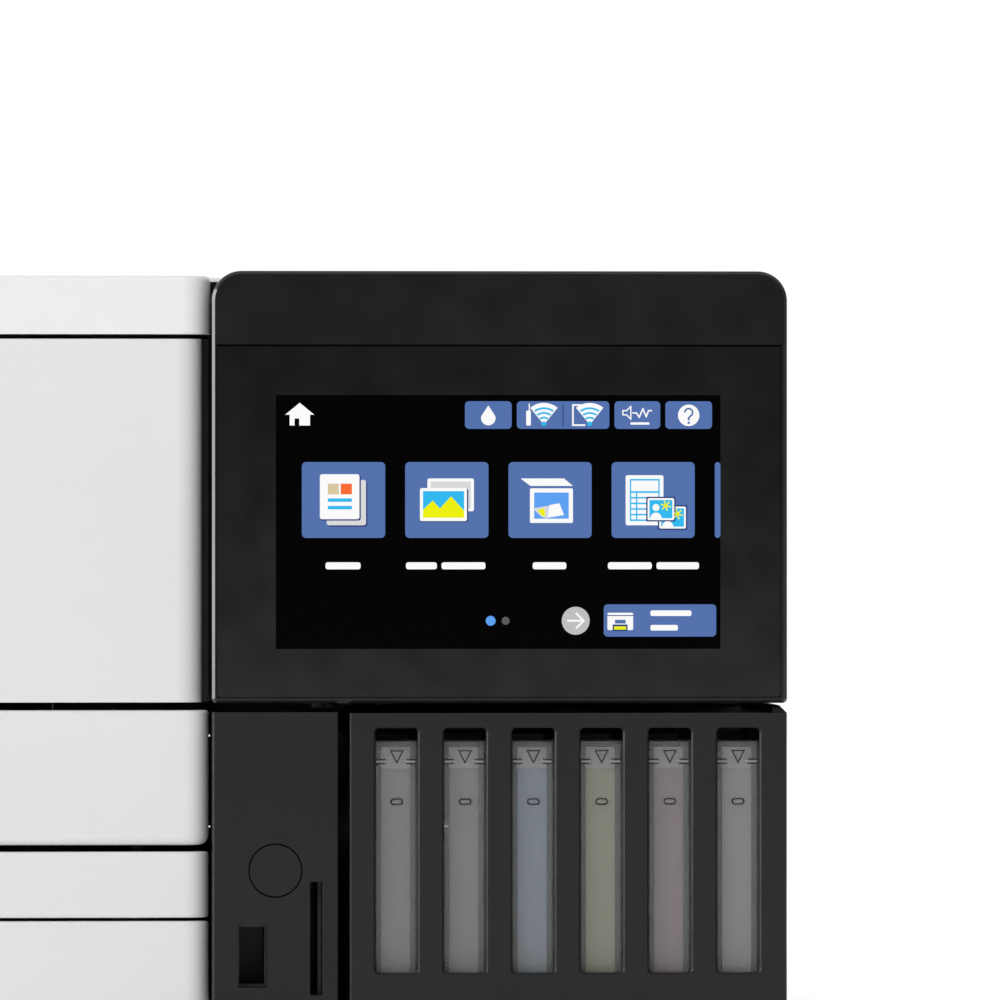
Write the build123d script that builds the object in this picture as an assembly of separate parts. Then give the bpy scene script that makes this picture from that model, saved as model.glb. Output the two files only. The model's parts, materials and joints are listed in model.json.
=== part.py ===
from build123d import *
import os
from math import pi

# Inkjet multi-function printer: flatbed scanner on top, two paper cassettes and an output
# tray at the front, a tilting touch panel at the front right and six refillable ink tanks
# below it.  Millimetres.  +X is the right seen from the front, the front faces -Y, +Z is up,
# and the origin is at the middle of the footprint, on the surface the printer stands on.

# Outer size
WIDTH = 403.0
DEPTH = 347.0
HEIGHT = 162.0
RIGHT = WIDTH / 2
LEFT = -RIGHT
BACK = DEPTH / 2
FRONT = -BACK
WALL = 2.5
CORNER = 6.0
WHITE_FRONT = FRONT + 2.0
REAR_SPLIT = 124.0

# Heights, from the feet up
FOOT_HEIGHT = 3.0
BASE_TOP = 5.5
PAPER_FRONT = (4.0, 23.2)
PAPER_BODY = (6.3, 22.5)
LEDGE = (23.3, 24.0)
PHOTO_FRONT = (23.9, 38.0)
PHOTO_BODY = (24.2, 36.5)
WALL_TOP = 38.1
FLAP = (39.4, 68.2)
TRAY = (44.5, 47.0)
LOWER_TOP = 68.4
SKIRT_BOTTOM = 69.9
SCANNER_FLOOR = 114.0
GLASS = (142.0, 145.0)
HOUSING_TOP = 147.5
COVER = (148.5, 161.0)
REAR_TOP = 160.5

# Columns across the front
WHITE_RIGHT = 77.95
WHITE_LEFT = -195.6
END_DEPTH = 4.9
SCANNER_FRONT_RIGHT = 76.5
PANEL_LEFT = 78.5
BEZEL_RIGHT = 105.5
TANK_LEFT = 107.8

# Paper path: bay between two walls, with the sheet centred in it
BAY = (-185.5, 61.5)
SHEET_CENTRE = -62.0
SHEET_WIDTH = 210.0
SHEET_LEFT = SHEET_CENTRE - SHEET_WIDTH / 2
SHEET_RIGHT = SHEET_CENTRE + SHEET_WIDTH / 2
PHOTO_WIDTH = 127.0
BASE_FRONT = -166.2
CASSETTE = (-184.0, 60.0)
CASSETTE_BACK = 145.0
PHOTO_BACK = 20.0

# Feed gears and rollers, all on level axes along X
GEAR_MODULE = 0.8
GEAR_X = (-196.0, -190.0)
ROLLER_TEETH = 40
IDLER_TEETH = 35
PINION_TEETH = 16
ROLLER_RADIUS = 6.0
PINCH_RADIUS = 4.0
AXLE_Z = 58.0
EXIT_Y = 2.0
IDLER_Y = EXIT_Y + GEAR_MODULE * (ROLLER_TEETH + IDLER_TEETH) / 2
FEED_Y = IDLER_Y + GEAR_MODULE * (ROLLER_TEETH + IDLER_TEETH) / 2
PINION_Y = FEED_Y + GEAR_MODULE * (ROLLER_TEETH + PINION_TEETH) / 2
PINCH_Z = AXLE_Z + ROLLER_RADIUS + PINCH_RADIUS + 0.1
PLATEN_TOP = 64.0
RUNNING = 0.05

# Print carriage on its round guide shaft
CARRIAGE_X = (95.0, 141.0)
CARRIAGE_TOP = 108.0
SHAFT_Y = 66.0
SHAFT_Z = 88.0
SHAFT_RADIUS = 4.5
FRAME_X = (-187.5, 190.0)
FRAME_TOP = 112.0
PLATE = 1.5
REAR_PLATE_Y = 84.0
BELT_Y = (77.5, 82.5)
PULLEY_Z = 92.0
PULLEY_RADIUS = 6.0
MOTOR_PULLEY_X = 178.0
IDLER_PULLEY_X = -176.0

# Ink tubes: a flat ribbon that turns back on itself over the carriage
TUBE_COUNT = 6
TUBE_RADIUS = 1.4
TUBE_PITCH = 2.9
TUBE_TURN = (-10.0, 14.0)
TUBE_TURN_RADIUS = 20.0
TUBE_Z = 110.4
TUBE_JOINT = (123.0, 139.0)
BEAM_Y = (-24.0, -3.0)

# Hinges, as (y, z) of axes along X
SCANNER_HINGE = (REAR_SPLIT, 152.0)
COVER_HINGE = (110.0, 153.0)
PANEL_HINGE = (-164.0, 153.0)
FLAP_HINGE = (-166.9, 43.5)
STOPPER_HINGE = (-167.0, 64.0)
FEED_COVER_HINGE = (137.5, 158.6)
TANK_COVER_HINGE = (-80.0, 65.6)
CAP_HINGE = (-117.0, 60.6)

# Ink tanks and their windows
TANK_COUNT = 6
TANK_PITCH = 14.63
TANK_FIRST = 117.9
TANK_WIDTH = 13.2
TANK_Y = (-169.5, -84.0)
TANK_TOP = 57.4
TANK_RISER_TOP = 61.6
TANK_RISER_BACK = -156.0
TANK_WALL = 1.2
TANK_NOSE_WIDTH = 8.7
TANK_NOSE_DEPTH = 2.5
WINDOW_WIDTH = 9.15
WINDOW_Z = (12.0, 64.4)
WINDOW_BEVEL = 0.35
BEZEL_TOP = 67.6
TANK_SIDE_BACK = -78.0
TANK_SIDE_TOP = 69.2

# Touch panel
PANEL_Z = (69.7, HEIGHT)
PANEL_BACK = -160.0
PANEL_BEVEL = 0.6
PANEL_LIP_BACK = -166.0
PLATE_X = (79.6, 200.1)
PLATE_Z = (71.0, 146.0)
SCREEN_X = (92.1, 187.2)
SCREEN_Z = (81.3, 135.5)

# Rear feed: a hopper plate leaning back
HOPPER_LEAN = 20.0
HOPPER_FOOT = (133.0, 74.0)
HOPPER_LENGTH = 88.0
HOPPER_X = (-182.0, 62.0)
HOPPER_THICK = 2.5
SLOT_X = (-184.0, 64.0)
SLOT_Y = (134.0, 165.8)
SUPPORT_SLIT_Y = (166.2, 170.6)
SUPPORT_X = (-120.6, -0.4)

# Flatbed glass and the window above it
WINDOW_X = (-183.0, 116.0)
WINDOW_Y = (-128.0, 90.0)
GLASS_MARGIN = 4.0
SCAN_ROD = (-20.0, 122.0)
SCAN_ROD_RADIUS = 3.0

# Power button
BUTTON = (92.0, 34.0)
BUTTON_RADIUS = 5.5


def block(x, y, z):
    """Box between (low, high) pairs."""
    size = Box(x[1] - x[0], y[1] - y[0], z[1] - z[0])
    return Pos((x[0] + x[1]) / 2, (y[0] + y[1]) / 2, (z[0] + z[1]) / 2) * size


def rod_x(x, y, z, radius):
    """Round bar along X."""
    bar = Rot(0, 90, 0) * Cylinder(radius, x[1] - x[0])
    return Pos((x[0] + x[1]) / 2, y, z) * bar


def rod_y(x, y, z, radius):
    """Round bar along Y."""
    bar = Rot(90, 0, 0) * Cylinder(radius, y[1] - y[0])
    return Pos(x, (y[0] + y[1]) / 2, z) * bar


def rod_z(x, y, z, radius):
    """Round bar along Z."""
    return Pos(x, y, (z[0] + z[1]) / 2) * Cylinder(radius, z[1] - z[0])


def tray(x, y, z, wall, floor):
    """Box open at the top."""
    inner = block((x[0] + wall, x[1] - wall), (y[0] + wall, y[1] - wall), (z[0] + floor, z[1] + 1))
    return block(x, y, z) - inner


def rounded_box(x, y, z, radius, axis):
    """Box with its edges along one axis rounded."""
    box = block(x, y, z)
    return fillet(box.edges().filter_by(axis), radius)


def plan(points, z, radii):
    """Upright prism from an outline, with a radius for some of its corners."""
    face = make_face(Polyline(*points, close=True))
    for (x, y), radius in radii.items():
        corner = face.vertices().sort_by_distance((x, y, 0))[0]
        face = fillet(corner, radius)
    return Pos(0, 0, z[0]) * extrude(face, z[1] - z[0])


def lug(x, hinge, radius, bore, foot):
    """Hinge eye about an axis along X, with a foot block that joins it to its part."""
    eye = rod_x(x, hinge[0], hinge[1], radius) + block(x, *foot)
    return eye - rod_x((x[0] - 1, x[1] + 1), hinge[0], hinge[1], bore)


def gear(teeth, module, x, y, z, phase, bore):
    """Spur gear along X with straight-sided teeth; phase in degrees from +Y."""
    pitch = module * teeth / 2
    root = pitch - 1.2 * module
    tip = pitch + 0.9 * module
    disc = Cylinder(root, x[1] - x[0])
    half_root = 0.44 * pi * module / 2 + 0.35 * module
    half_tip = 0.44 * pi * module / 2 - 0.33 * module
    outline = [
        (root - 0.6, -half_root),
        (tip, -half_tip),
        (tip, half_tip),
        (root - 0.6, half_root),
    ]
    profile = make_face(Polyline(*outline, close=True))
    tooth = Pos(0, 0, -(x[1] - x[0]) / 2) * extrude(profile, x[1] - x[0])
    for index in range(teeth):
        disc += Rot(0, 0, index * 360 / teeth) * tooth
    disc -= Cylinder(bore, x[1] - x[0] + 2)
    turned = Rot(0, 0, phase) * disc
    # The gear's own X then points along world +Y and its own Y along world +Z.
    placed = Plane(origin=(0, 0, 0), x_dir=(0, 1, 0), z_dir=(1, 0, 0)).location * turned
    return Pos((x[0] + x[1]) / 2, y, z) * placed


def on_hopper(x, along, off):
    """Box in the leaning hopper's own frame: along its slope, and off its front face."""
    piece = block(x, off, along)
    return Pos(0, HOPPER_FOOT[0], HOPPER_FOOT[1]) * (Rot(-HOPPER_LEAN, 0, 0) * piece)


# ---- Chassis -------------------------------------------------------------------------------

def base_frame():
    """Bottom plate with the cassette bay walls, tray rails and the waste-ink box bay."""
    frame = block((-198.8, 198.8), (BASE_FRONT, 170.8), (FOOT_HEIGHT, BASE_TOP))
    for inner, side in ((BAY[0], -1), (BAY[1], 1)):
        wall = sorted((inner, inner + side * WALL))
        frame += block(wall, (BASE_FRONT, 148), (BASE_TOP, WALL_TOP))
        frame += block(wall, (-160, -28), (WALL_TOP, 50))
        step = sorted((inner, inner - side * 4.5))
        frame += block(step, (BASE_FRONT, 60), LEDGE)
        rail = sorted((inner, inner - side * 2.5))
        frame += block(rail, (-160, -28), (43.3, 44.3))
    for x in (69.6, 150.0):
        frame += block((x, x + WALL), (76, 170.8), (BASE_TOP, 38))
    frame += block((69.6, 152.5), (76, 170.8), (38, 40))
    for x in (80, 142):
        for y in (90, 150):
            frame += rod_z(x, y, (40, 42), 3)
    frame += block((164, 186), (REAR_PLATE_Y, 92), (BASE_TOP, 70))
    frame += block((164, 186), (REAR_PLATE_Y + PLATE, 92), (70, 74))
    return frame


def rubber_feet():
    """Four round feet."""
    feet = []
    for x in (-180, 180):
        for y in (-150, 150):
            feet.append(rod_z(x, y, (0, FOOT_HEIGHT), 8))
    return Compound(children=feet)


def left_side_cover():
    """White side wall that wraps round the front corner."""
    y_end = REAR_SPLIT - 0.2
    outer = [
        (LEFT, WHITE_FRONT), (WHITE_LEFT - 0.6, WHITE_FRONT), (WHITE_LEFT - 0.6, WHITE_FRONT + WALL),
        (LEFT + WALL, WHITE_FRONT + WALL), (LEFT + WALL, y_end), (LEFT, y_end),
    ]
    radii = {(LEFT, WHITE_FRONT): 5.2, (LEFT + WALL, WHITE_FRONT + WALL): 2.6}
    return plan(outer, (FOOT_HEIGHT, LOWER_TOP), radii)


def right_side_cover():
    """White side wall behind the ink tanks."""
    y = (TANK_SIDE_BACK + 0.4, REAR_SPLIT - 0.2)
    return block((RIGHT - WALL, RIGHT), y, (FOOT_HEIGHT, LOWER_TOP))


def rear_housing():
    """White back section with the rear feed hopper, and openings for what plugs in."""
    low = FOOT_HEIGHT
    shell = [
        (LEFT, REAR_SPLIT), (LEFT, BACK), (RIGHT, BACK), (RIGHT, REAR_SPLIT),
    ]
    radii = {(LEFT, BACK): CORNER, (RIGHT, BACK): CORNER}
    housing = plan(shell, (low, REAR_TOP), radii)
    housing = fillet(housing.edges().group_by(Axis.Z)[-1].filter_by(GeomType.LINE), 1.5)
    inside = block((LEFT + WALL, RIGHT - WALL), (REAR_SPLIT - 1, BACK - WALL), (low - 1, REAR_TOP - WALL))
    housing -= inside
    front_wall = block((LEFT + WALL, RIGHT - WALL), (128, 130), (100, REAR_TOP - WALL))
    housing += front_wall
    housing += block((LEFT + WALL, RIGHT - WALL), (REAR_SPLIT, 128), (158, REAR_TOP))
    housing -= block(SLOT_X, SLOT_Y, (REAR_TOP - WALL - 1, REAR_TOP + 1))
    support_slit = (SUPPORT_X[0] - 0.4, SUPPORT_X[1] + 0.4)
    housing -= block(support_slit, SUPPORT_SLIT_Y, (REAR_TOP - WALL - 1, REAR_TOP + 1))
    housing += on_hopper(HOPPER_X, (0, HOPPER_LENGTH), (0, HOPPER_THICK))
    for x in (HOPPER_X[0], HOPPER_X[1] - WALL):
        web = on_hopper((x, x + WALL), (4, HOPPER_LENGTH - 4), (HOPPER_THICK, 60))
        housing += web & block((LEFT + 1, RIGHT - 1), (REAR_SPLIT, BACK - 1), (70, REAR_TOP - 1))
    for x in (SUPPORT_X[0] - 4.8, SUPPORT_X[1] + 0.4):
        housing += on_hopper((x, x + 4.4), (6, HOPPER_LENGTH - 6), (HOPPER_THICK, 5.6))
    housing -= block((-170.4, 50.4), (BACK - WALL - 1, BACK + 1), (19.6, 75.4))
    housing -= block((72.2, 149.8), (BACK - WALL - 1, BACK + 1), (6.6, 34.4))
    housing -= block((156, 197), (BACK - WALL - 1, BACK + 1), (22, 48))
    housing -= block((85.6, 99.4), (BACK - WALL - 1, BACK + 1), (43.6, 56.4))
    housing -= block((112.6, 130.4), (BACK - WALL - 1, BACK + 1), (43.6, 60.4))
    for centre in (-150, 150):
        for x in ((centre - 9.6, centre - 6.4), (centre + 6.4, centre + 9.6)):
            eye = rod_x(x, *SCANNER_HINGE, 3.6)
            eye += block(x, (SCANNER_HINGE[0], 128.5), (SCANNER_HINGE[1] - 3.6, SCANNER_HINGE[1] + 3.6))
            housing += eye
        housing += rod_x((centre - 9.6, centre + 9.6), *SCANNER_HINGE, 2)
    for x in ((SLOT_X[0] - 3, SLOT_X[0] + 3), (SLOT_X[1] - 3, SLOT_X[1] + 3)):
        housing += rod_x(x, *FEED_COVER_HINGE, 0.9)
    for centre in (-150, 150):
        gap = block((centre - 6.4, centre + 6.4), (REAR_SPLIT - 4, 127.9), (148.2, 158.2))
        housing -= gap - rod_x((centre - 9, centre + 9), *SCANNER_HINGE, 2)
    return housing


def front_bezel():
    """Black front piece with the power button and the card and USB sockets."""
    x = (PANEL_LEFT, BEZEL_RIGHT)
    bezel = rounded_box(x, (FRONT, FRONT + 4), (4, 67.8), 0.8, Axis.Z)
    for left in (x[0] + 0.8, x[1] - 2.8):
        bezel += block((left, left + 2), (FRONT + 4, -132), (6, 66))
    bezel -= rod_y(BUTTON[0], (FRONT - 1, FRONT + 5), BUTTON[1], BUTTON_RADIUS + 0.3)
    bezel -= block((84.0, 90.2), (FRONT - 1, FRONT + 5), (9, 22.5))
    bezel -= block((99.4, 102.0), (FRONT - 1, FRONT + 5), (7.4, 31.6))
    guide = rod_y(BUTTON[0], (-166, -158), BUTTON[1], 4.5)
    guide += block((x[0] + 1, x[1] - 1), (-161, -158), (BUTTON[1] - 1, BUTTON[1] + 3))
    guide -= rod_y(BUTTON[0], (-167, -157), BUTTON[1], 2.5 + RUNNING)
    return bezel + guide


def card_reader():
    """Memory card and USB sockets behind the bezel."""
    reader = block((82, 97.6), (-169.3, -140), (6.6, 25))
    reader += block((97.6, 101.9), (-169.3, -140), (6.6, 32.6))
    reader -= block((99.0, 101.2), (-170, -146), (7.4, 31.6))
    reader -= block((84.4, 89.8), (-170, -154), (9.6, 21.9))
    return reader


def window_outline(growth):
    """Rounded outline of an ink window, grown on every side."""
    width = WINDOW_WIDTH + 2 * growth
    height = WINDOW_Z[1] - WINDOW_Z[0] + 2 * growth
    return Rot(90, 0, 0) * RectangleRounded(width, height, 0.9 + growth)


def tank_front_cover():
    """Black cover over the ink tanks, with a window for each, wrapping round the right side."""
    front = rounded_box((TANK_LEFT, RIGHT), (FRONT, FRONT + 3.5), (4, BEZEL_TOP), 0.7, Axis.Z)
    side_y = (FRONT + 1.3, TANK_SIDE_BACK)
    side = block((RIGHT - WALL, RIGHT), side_y, (4, TANK_SIDE_TOP))
    side += block((RIGHT - WALL - 0.5, RIGHT), side_y, (60, TANK_SIDE_TOP))
    outer_edge = side.edges().filter_by(Axis.Y).group_by(Axis.Z)[-1].sort_by(Axis.X)[-1]
    side = chamfer(outer_edge, 1.6)
    front_edge = side.edges().filter_by(Axis.X).group_by(Axis.Z)[-1].sort_by(Axis.Y)[0]
    side = fillet(front_edge, 1.2)
    cover = front + side
    cover += block((TANK_LEFT, TANK_LEFT + 2), (FRONT + 3, -76), (6, 62.2))
    ear_y = (TANK_COVER_HINGE[0] - 2.5, TANK_COVER_HINGE[0] + 2.5)
    cover += block((TANK_LEFT, TANK_LEFT + 2), ear_y, (62, 68))
    cover += rod_x((TANK_LEFT + 1.5, TANK_LEFT + 4.6), *TANK_COVER_HINGE, 1.2)
    cover += rod_x((RIGHT - WALL - 2.6, RIGHT - 2), *TANK_COVER_HINGE, 1.2)
    for index in range(TANK_COUNT):
        centre = TANK_FIRST + index * TANK_PITCH
        half = WINDOW_WIDTH / 2
        window = block((centre - half, centre + half), (FRONT - 1, FRONT + 5), WINDOW_Z)
        cover -= fillet(window.edges().filter_by(Axis.Y), 0.9)
        bevel = loft([
            Pos(centre, FRONT - 0.01, sum(WINDOW_Z) / 2) * window_outline(WINDOW_BEVEL),
            Pos(centre, FRONT + WINDOW_BEVEL, sum(WINDOW_Z) / 2) * window_outline(0.0),
        ])
        cover -= bevel
    return cover


def ink_tank(centre):
    """One tank: a hollow wall with a taller front, a filler neck and two hinge ears."""
    half = TANK_WIDTH / 2
    x = (centre - half, centre + half)
    hollow = (x[0] + TANK_WALL, x[1] - TANK_WALL)
    shoulder = TANK_Y[0] + TANK_NOSE_DEPTH
    tank = block(x, (shoulder, TANK_Y[1]), (8, TANK_TOP))
    tank += block(x, (shoulder, TANK_RISER_BACK), (8, TANK_RISER_TOP))
    nose_half = TANK_NOSE_WIDTH / 2
    nose = block((centre - nose_half, centre + nose_half), (TANK_Y[0], shoulder), (9, TANK_RISER_TOP))
    nose = fillet(nose.edges().filter_by(Axis.Y), 0.5)
    tank += fillet(nose.faces().sort_by(Axis.Y)[0].edges(), 0.3)
    tank -= block(hollow, (shoulder + TANK_WALL, TANK_Y[1] - TANK_WALL), (9.2, TANK_TOP - TANK_WALL))
    riser = (shoulder + TANK_WALL, TANK_RISER_BACK - TANK_WALL)
    tank -= block(hollow, riser, (9.2, TANK_RISER_TOP - TANK_WALL))
    nose_hollow = (centre - nose_half + TANK_WALL, centre + nose_half - TANK_WALL)
    tank -= block(nose_hollow, (TANK_Y[0] + TANK_WALL, shoulder + 2), (10.2, TANK_RISER_TOP - TANK_WALL))
    neck = rod_z(centre, -129, (TANK_TOP - 0.5, 59.2), 4.6) - rod_z(centre, -129, (58, 60), 3.2)
    tank += neck
    for ear in ((x[0] + 0.6, x[0] + 2.2), (x[1] - 2.2, x[1] - 0.6)):
        y = (CAP_HINGE[0] - 1.6, CAP_HINGE[0] + 1.6)
        tank += rod_x(ear, *CAP_HINGE, 1.6) + block(ear, y, (TANK_TOP - 0.5, CAP_HINGE[1]))
    tank += rod_x((x[0] + 1, x[1] - 1), *CAP_HINGE, 0.8)
    return tank


def ink_tanks():
    """Six tanks side by side."""
    return Compound(children=[ink_tank(TANK_FIRST + i * TANK_PITCH) for i in range(TANK_COUNT)])


def carriage_frame():
    """Folded steel frame that carries the guide shaft, the rollers and the tube beam."""
    rear_y = (REAR_PLATE_Y, REAR_PLATE_Y + PLATE)
    frame = block(FRAME_X, rear_y, (70, FRAME_TOP))
    frame += block((FRAME_X[0], FRAME_X[0] + PLATE), (BEAM_Y[0], 100), (WALL_TOP, FRAME_TOP))
    frame += block((FRAME_X[1] - PLATE, FRAME_X[1]), (BEAM_Y[0], rear_y[1]), (70, FRAME_TOP))
    frame += block((62, 63.5), (-8, rear_y[1]), (WALL_TOP, 64.5))
    frame += block((62, 63.5), rear_y, (64, 71))
    frame += block(FRAME_X, BEAM_Y, (106.4, 108))
    frame += block(FRAME_X, (BEAM_Y[0], BEAM_Y[0] + PLATE), (98, 108))
    for y, z, radius in (
        (SHAFT_Y, SHAFT_Z, SHAFT_RADIUS),
        (FEED_Y, AXLE_Z, 4 + RUNNING),
        (EXIT_Y, AXLE_Z, 4 + RUNNING),
        (IDLER_Y, AXLE_Z, 3 + RUNNING),
        (PINION_Y, AXLE_Z, 3.5),
    ):
        span = (FRAME_X[0] - 1, FRAME_X[0] + PLATE + 1)
        frame -= rod_x(span, y, z, radius)
    for y in (FEED_Y, EXIT_Y):
        frame -= rod_x((61, 64.5), y, AXLE_Z, 4 + RUNNING)
    frame -= rod_x((FRAME_X[1] - PLATE - 1, FRAME_X[1] + 1), SHAFT_Y, SHAFT_Z, SHAFT_RADIUS)
    for x in (MOTOR_PULLEY_X, IDLER_PULLEY_X):
        frame -= rod_y(x, (rear_y[0] - 1, rear_y[1] + 1), PULLEY_Z, 2 + RUNNING)
    for x in range(-150, 160, 60):
        slot = rounded_box((x - 18, x + 18), (rear_y[0] - 1, rear_y[1] + 1), (76, 82), 2.5, Axis.Y)
        frame -= slot
    return frame


def guide_shaft():
    """Polished round shaft that the print carriage slides on."""
    return rod_x(FRAME_X, SHAFT_Y, SHAFT_Z, SHAFT_RADIUS)


def carriage_belt():
    """Toothed belt loop round the two pulleys."""
    ring = block((IDLER_PULLEY_X, MOTOR_PULLEY_X), BELT_Y, (PULLEY_Z - 7.05, PULLEY_Z + 7.05))
    inner = block((IDLER_PULLEY_X, MOTOR_PULLEY_X), (BELT_Y[0] - 1, BELT_Y[1] + 1),
                  (PULLEY_Z - 6.05, PULLEY_Z + 6.05))
    for x in (IDLER_PULLEY_X, MOTOR_PULLEY_X):
        ring += rod_y(x, BELT_Y, PULLEY_Z, 7.05)
        inner += rod_y(x, (BELT_Y[0] - 1, BELT_Y[1] + 1), PULLEY_Z, 6.05)
    return ring - inner


def carriage_motor():
    """DC motor behind the frame that turns the belt pulley."""
    start = REAR_PLATE_Y + PLATE
    motor = rod_y(MOTOR_PULLEY_X, (start, 112), PULLEY_Z, 11.5)
    motor += rod_y(MOTOR_PULLEY_X, (112, 114), PULLEY_Z, 4)
    return motor - rod_y(MOTOR_PULLEY_X, (start - 1, 100), PULLEY_Z, 2 + RUNNING)


def encoder_strip():
    """Clear position strip above the belt."""
    strip = block((FRAME_X[0] + PLATE, FRAME_X[1] - PLATE), (79.8, 80.2), (102.5, 107.5))
    return strip


def platen():
    """Ribbed support under the print head."""
    bed = block((-180, 58), (9, 54.5), (50, 61.5))
    for x in range(-172, 56, 12):
        bed += block((x, x + 1.6), (9, 54.5), (61, PLATEN_TOP))
    bed += block((58, 61.9), (20, 44), (50, 58))
    bed += block((-186, -180), (16, 24), (50, 58))
    return bed


def feed_motor():
    """DC motor that drives the paper feed gears."""
    x_face = FRAME_X[0] + PLATE
    motor = rod_x((x_face, -160), PINION_Y, AXLE_Z, 11.5)
    return motor - rod_x((x_face - 1, -163), PINION_Y, AXLE_Z, 1.5 + RUNNING)


def pinch_roller_holder():
    """Bar with arms that hold the pinch roller axle over the feed roller."""
    holder = block((-172, 50), (71, REAR_PLATE_Y), (70.6, 76))
    for x in range(-172, 49, 37):
        arm = block((x, x + 4), (59.6, 72), (66.0, 72.6))
        holder += arm
    return holder - rod_x((-173, 51), FEED_Y, PINCH_Z, 1.5 + RUNNING)


def capping_station():
    """Pump housing with the cap that seals the print head when it is parked."""
    station = block((99, 137), (8, 56), (BASE_TOP, 42))
    station += rounded_box((94, 142), (4, 60), (42, 56), 3, Axis.Z)
    cap = rounded_box((104, 132), (14, 48), (56, 64.6), 2, Axis.Z)
    cap -= block((106, 130), (16, 46), (62, 65))
    wiper = block((97, 99), (16, 46), (56, 64.2))
    return station + cap + wiper


def main_board():
    """Circuit board with its USB and network sockets at the back."""
    board = block((72, 150), (80, 168), (42, 43.6))
    usb = block((86, 99), (152, 171.5), (43.6, 56)) - block((88.2, 96.8), (158, 172), (46, 53.8))
    lan = block((113, 130), (150, 171.5), (43.6, 60)) - block((115.5, 127.5), (156, 172), (46, 57.5))
    board += usb + lan
    for x, y, size, height in ((96, 110, 18, 2), (124, 116, 12, 1.6), (84, 126, 8, 3), (138, 96, 10, 6)):
        board += block((x - size / 2, x + size / 2), (y - size / 2, y + size / 2), (43.6, 43.6 + height))
    return board


def power_supply():
    """Closed power unit with a two-pin inlet at the back."""
    supply = rounded_box((156.5, 196.5), (96, 168), (8, 60), 2, Axis.Y)
    supply += block((160, 193), (168, 171.8), (24, 46))
    recess = rounded_box((168, 186), (158, 172.5), (31, 39), 3.9, Axis.Y)
    supply -= recess
    for x in (172.7, 181.3):
        supply += rod_y(x, (157, 167), 35, 1.2)
    return supply


def tube_path(index):
    """Centre line of one ink tube: along the beam, round the turn and out to the carriage."""
    radius = TUBE_TURN_RADIUS + index * TUBE_PITCH
    turn_x, turn_y = TUBE_TURN
    start = Vector(170 - index * TUBE_PITCH, turn_y - radius, TUBE_Z)
    near = Vector(turn_x, turn_y - radius, TUBE_Z)
    left = Vector(turn_x - radius, turn_y, TUBE_Z)
    far = Vector(turn_x, turn_y + radius, TUBE_Z)
    end = Vector(TUBE_JOINT[0], turn_y + radius, TUBE_Z)
    return Line(start, near) + ThreePointArc(near, left, far) + Line(far, end)


def ink_tubes():
    """Ribbon of six thin tubes that follows the carriage."""
    tubes = []
    for index in range(TUBE_COUNT):
        path = tube_path(index)
        section = Plane(origin=path @ 0, z_dir=path % 0) * Circle(TUBE_RADIUS)
        tubes.append(sweep(section, path=path))
    return Compound(children=tubes)


# ---- Scanner unit --------------------------------------------------------------------------

def scanner_outline(right_front):
    """Plan outline shared by the scanner housing and the document cover."""
    y_back = REAR_SPLIT - 0.2
    notch_y = -149.3
    return [
        (LEFT, WHITE_FRONT), (right_front, WHITE_FRONT), (right_front, notch_y),
        (RIGHT, notch_y), (RIGHT, y_back), (LEFT, y_back),
    ]


def scanner_housing():
    """White upper shell with the window for the glass and the two rear hinge eyes."""
    points = scanner_outline(SCANNER_FRONT_RIGHT)
    radii = {points[0]: CORNER, points[1]: 5.0}
    outer = plan(points, (SKIRT_BOTTOM, HOUSING_TOP), radii)
    face = make_face(Polyline(*points, close=True))
    inner_face = offset(face, -WALL, kind=Kind.INTERSECTION)
    front = [v for v in inner_face.vertices() if v.Y < WHITE_FRONT + 2 * WALL]
    inner_face = fillet(front, 3.0)
    inner = Pos(0, 0, SKIRT_BOTTOM - 1) * extrude(inner_face, HOUSING_TOP - WALL - SKIRT_BOTTOM + 1)
    housing = outer - inner
    housing -= block(WINDOW_X, WINDOW_Y, (HOUSING_TOP - WALL - 1, HOUSING_TOP + 1))
    housing -= block((-198, 198), (118, 125), (SKIRT_BOTTOM - 1, 112))
    for centre in (-150, 150):
        foot = ((119, SCANNER_HINGE[0]), (HOUSING_TOP - 1, SCANNER_HINGE[1] + 2))
        housing += lug((centre - 6, centre + 6), SCANNER_HINGE, 3.6, 2 + RUNNING, foot)
    for centre in (-120, 120):
        foot = ((COVER_HINGE[0] - 4, COVER_HINGE[0] + 4), (HOUSING_TOP - 1, COVER_HINGE[1]))
        housing += lug((centre - 5, centre + 5), COVER_HINGE, 4, 2 + RUNNING, foot)
    return housing


def panel_mount():
    """Black recess behind the touch panel with the two pivot arms."""
    mount = block((SCANNER_FRONT_RIGHT + 0.2, RIGHT), (-152, -149.5), (SKIRT_BOTTOM, HOUSING_TOP))
    mount += block((PANEL_LEFT, RIGHT), (-152, -149.5), (HOUSING_TOP - 1, 160))
    mount += block((SCANNER_FRONT_RIGHT + 0.2, PANEL_LEFT - 0.4), (-161, -152), (SKIRT_BOTTOM, HOUSING_TOP))
    mount += block((RIGHT - 2, RIGHT), (-165.2, -152), (SKIRT_BOTTOM, 150))
    for centre in (102, 178):
        foot = ((PANEL_HINGE[0], -151), (PANEL_HINGE[1] - 3, PANEL_HINGE[1] + 3))
        mount += lug((centre - 5, centre + 5), PANEL_HINGE, 3.6, 2 + RUNNING, foot)
    return mount


def scanner_base():
    """Black tray under the glass with the rack that the scan carriage climbs along."""
    base = tray((-196, 196), (-146, 114), (SCANNER_FLOOR, 141.8), 2, 2)
    rack = block((-190, 190), (30, 35), (115.5, 117.4))
    for x in range(-188, 190, 4):
        rack += block((x, x + 2), (30, 35), (117, 118.2))
    base += rack
    for x in (-196, 194):
        post = block((x, x + 2), (SCAN_ROD[0] - 6, SCAN_ROD[0] + 6), (114, 128))
        base += post
    return base - rod_x((-197, 197), *SCAN_ROD, SCAN_ROD_RADIUS)


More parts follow.
